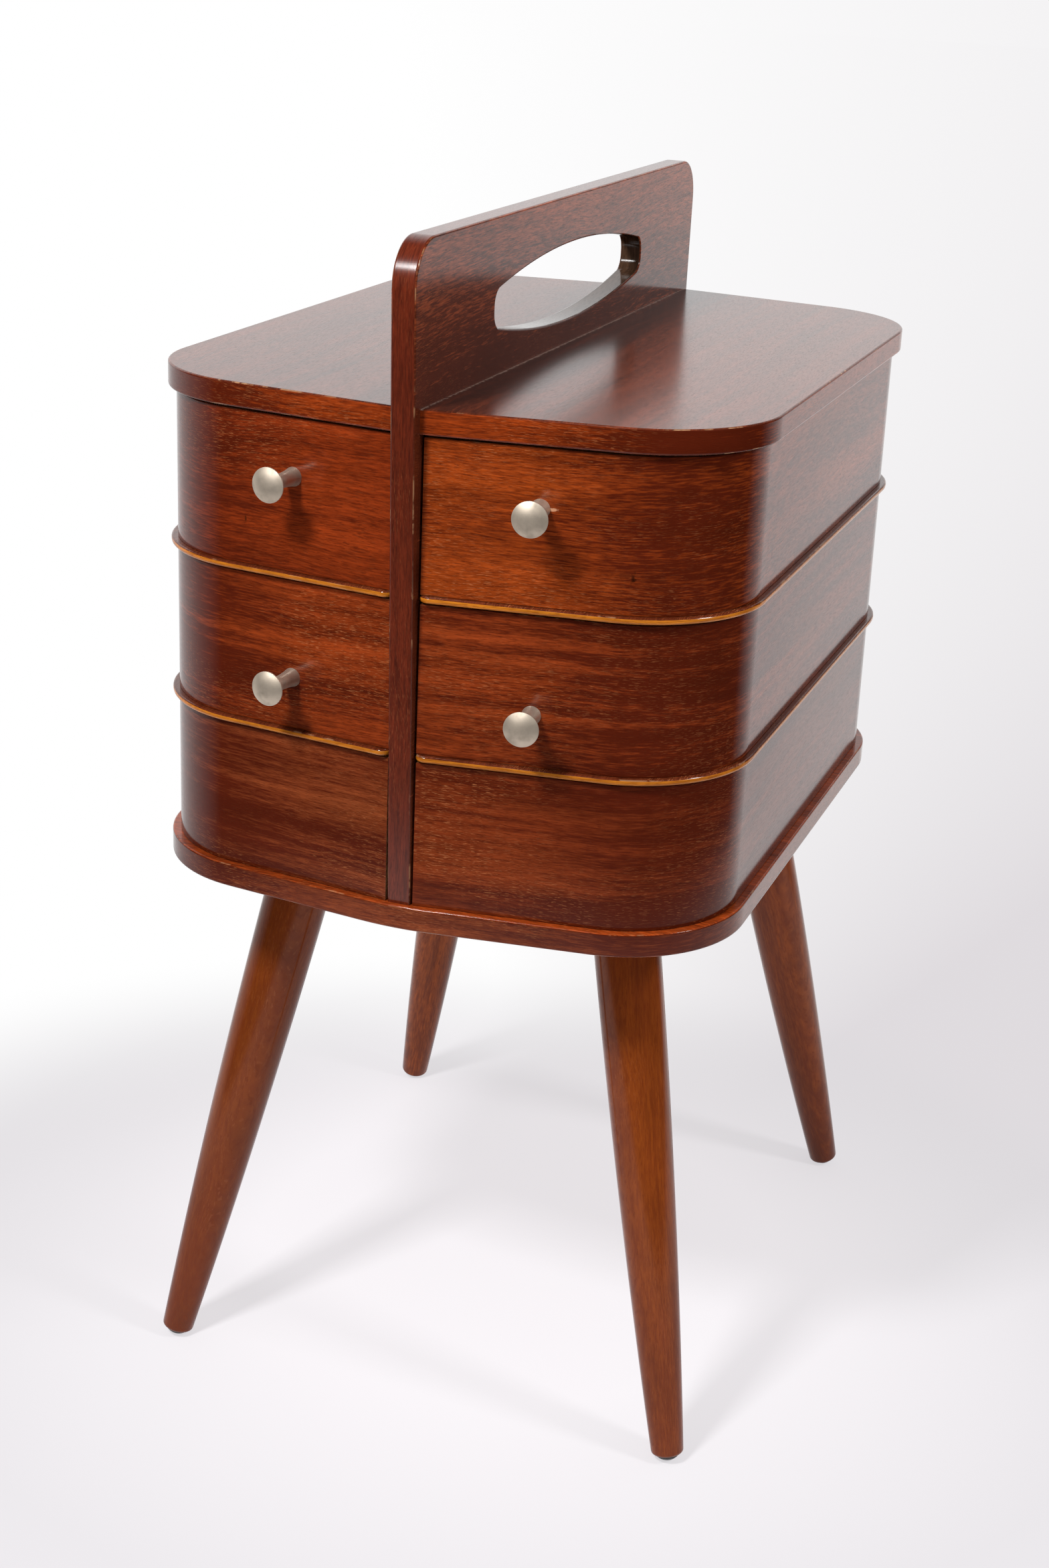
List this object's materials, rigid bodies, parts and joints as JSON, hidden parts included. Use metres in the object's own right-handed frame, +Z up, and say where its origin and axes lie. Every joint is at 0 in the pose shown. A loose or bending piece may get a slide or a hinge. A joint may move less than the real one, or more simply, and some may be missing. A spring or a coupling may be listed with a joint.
{
  "type": "sewing box",
  "caption": "Wooden sewing box on splayed turned legs, with a centre handle panel, fixed lids and stacked bentwood trays that swing out sideways.",
  "frame": {"origin": "on the floor, below the middle of the box", "axes": "+Z up; the centre panel and its handle lie in the plane X = 0, along Y; the knobs are at the front, towards -Y; +X is the right-hand side seen from the front"},
  "size_m": [0.31, 0.4323, 0.6294],
  "materials": {
    "bent_veneer": "veneered bent plywood, satin lacquer",
    "board_veneer": "veneered board, satin lacquer",
    "panel_veneer": "veneered board, satin lacquer",
    "tray_plywood": "birch plywood, stained, lacquered edge",
    "inner_wood": "plain sealed wood",
    "leg_wood": "turned beech, stained, satin lacquer",
    "dowel_beech": "bare beech",
    "satin_nickel": "turned, satin nickel plated",
    "rod_steel": "bright drawn rod",
    "screw_steel": "plain steel",
    "glide_plastic": "moulded, matt"
  },
  "bodies": {
    "carcass": {"base_board": "board_veneer", "centre_panel": "panel_veneer", "glide_front_left": "glide_plastic", "glide_front_right": "glide_plastic", "glide_rear_left": "glide_plastic", "glide_rear_right": "glide_plastic", "leg_block_front_left": "inner_wood", "leg_block_front_right": "inner_wood", "leg_block_rear_left": "inner_wood", "leg_block_rear_right": "inner_wood", "leg_block_screws": "screw_steel", "leg_front_left": "leg_wood", "leg_front_right": "leg_wood", "leg_rear_left": "leg_wood", "leg_rear_right": "leg_wood", "lid_dowels": "dowel_beech", "lid_left": "board_veneer", "lid_right": "board_veneer", "lower_pivot_block_left": "inner_wood", "lower_pivot_block_right": "inner_wood", "lower_tray_inner_wall_left": "inner_wood", "lower_tray_inner_wall_right": "inner_wood", "lower_tray_wall_left": "bent_veneer", "lower_tray_wall_right": "bent_veneer", "panel_screws": "screw_steel", "pivot_rod_left": "rod_steel", "pivot_rod_right": "rod_steel", "rod_washers_left": "rod_steel", "rod_washers_right": "rod_steel"},
    "upper_tray_left": {"upper_knob_left": "satin_nickel", "upper_knob_screw_left": "screw_steel", "upper_pivot_block_left": "inner_wood", "upper_tray_floor_left": "tray_plywood", "upper_tray_inner_wall_left": "inner_wood", "upper_tray_wall_left": "bent_veneer"},
    "upper_tray_right": {"upper_knob_right": "satin_nickel", "upper_knob_screw_right": "screw_steel", "upper_pivot_block_right": "inner_wood", "upper_tray_floor_right": "tray_plywood", "upper_tray_inner_wall_right": "inner_wood", "upper_tray_wall_right": "bent_veneer"},
    "middle_tray_left": {"middle_knob_left": "satin_nickel", "middle_knob_screw_left": "screw_steel", "middle_pivot_block_left": "inner_wood", "middle_tray_floor_left": "tray_plywood", "middle_tray_inner_wall_left": "inner_wood", "middle_tray_wall_left": "bent_veneer"},
    "middle_tray_right": {"middle_knob_right": "satin_nickel", "middle_knob_screw_right": "screw_steel", "middle_pivot_block_right": "inner_wood", "middle_tray_floor_right": "tray_plywood", "middle_tray_inner_wall_right": "inner_wood", "middle_tray_wall_right": "bent_veneer"}
  },
  "joints": [
    {"name": "upper_left_swing", "type": "hinge", "parent": "carcass", "child": "upper_tray_left", "pos_m": [-0.0259, 0.18345, 0.4626], "axis": [0, 0, -1], "range_deg": [0, 95]},
    {"name": "upper_right_swing", "type": "hinge", "parent": "carcass", "child": "upper_tray_right", "pos_m": [0.0259, 0.18345, 0.4626], "axis": [0, 0, 1], "range_deg": [0, 95]},
    {"name": "middle_left_swing", "type": "hinge", "parent": "carcass", "child": "middle_tray_left", "pos_m": [-0.0259, 0.18345, 0.3838], "axis": [0, 0, -1], "range_deg": [0, 95]},
    {"name": "middle_right_swing", "type": "hinge", "parent": "carcass", "child": "middle_tray_right", "pos_m": [0.0259, 0.18345, 0.3838], "axis": [0, 0, 1], "range_deg": [0, 95]}
  ]
}
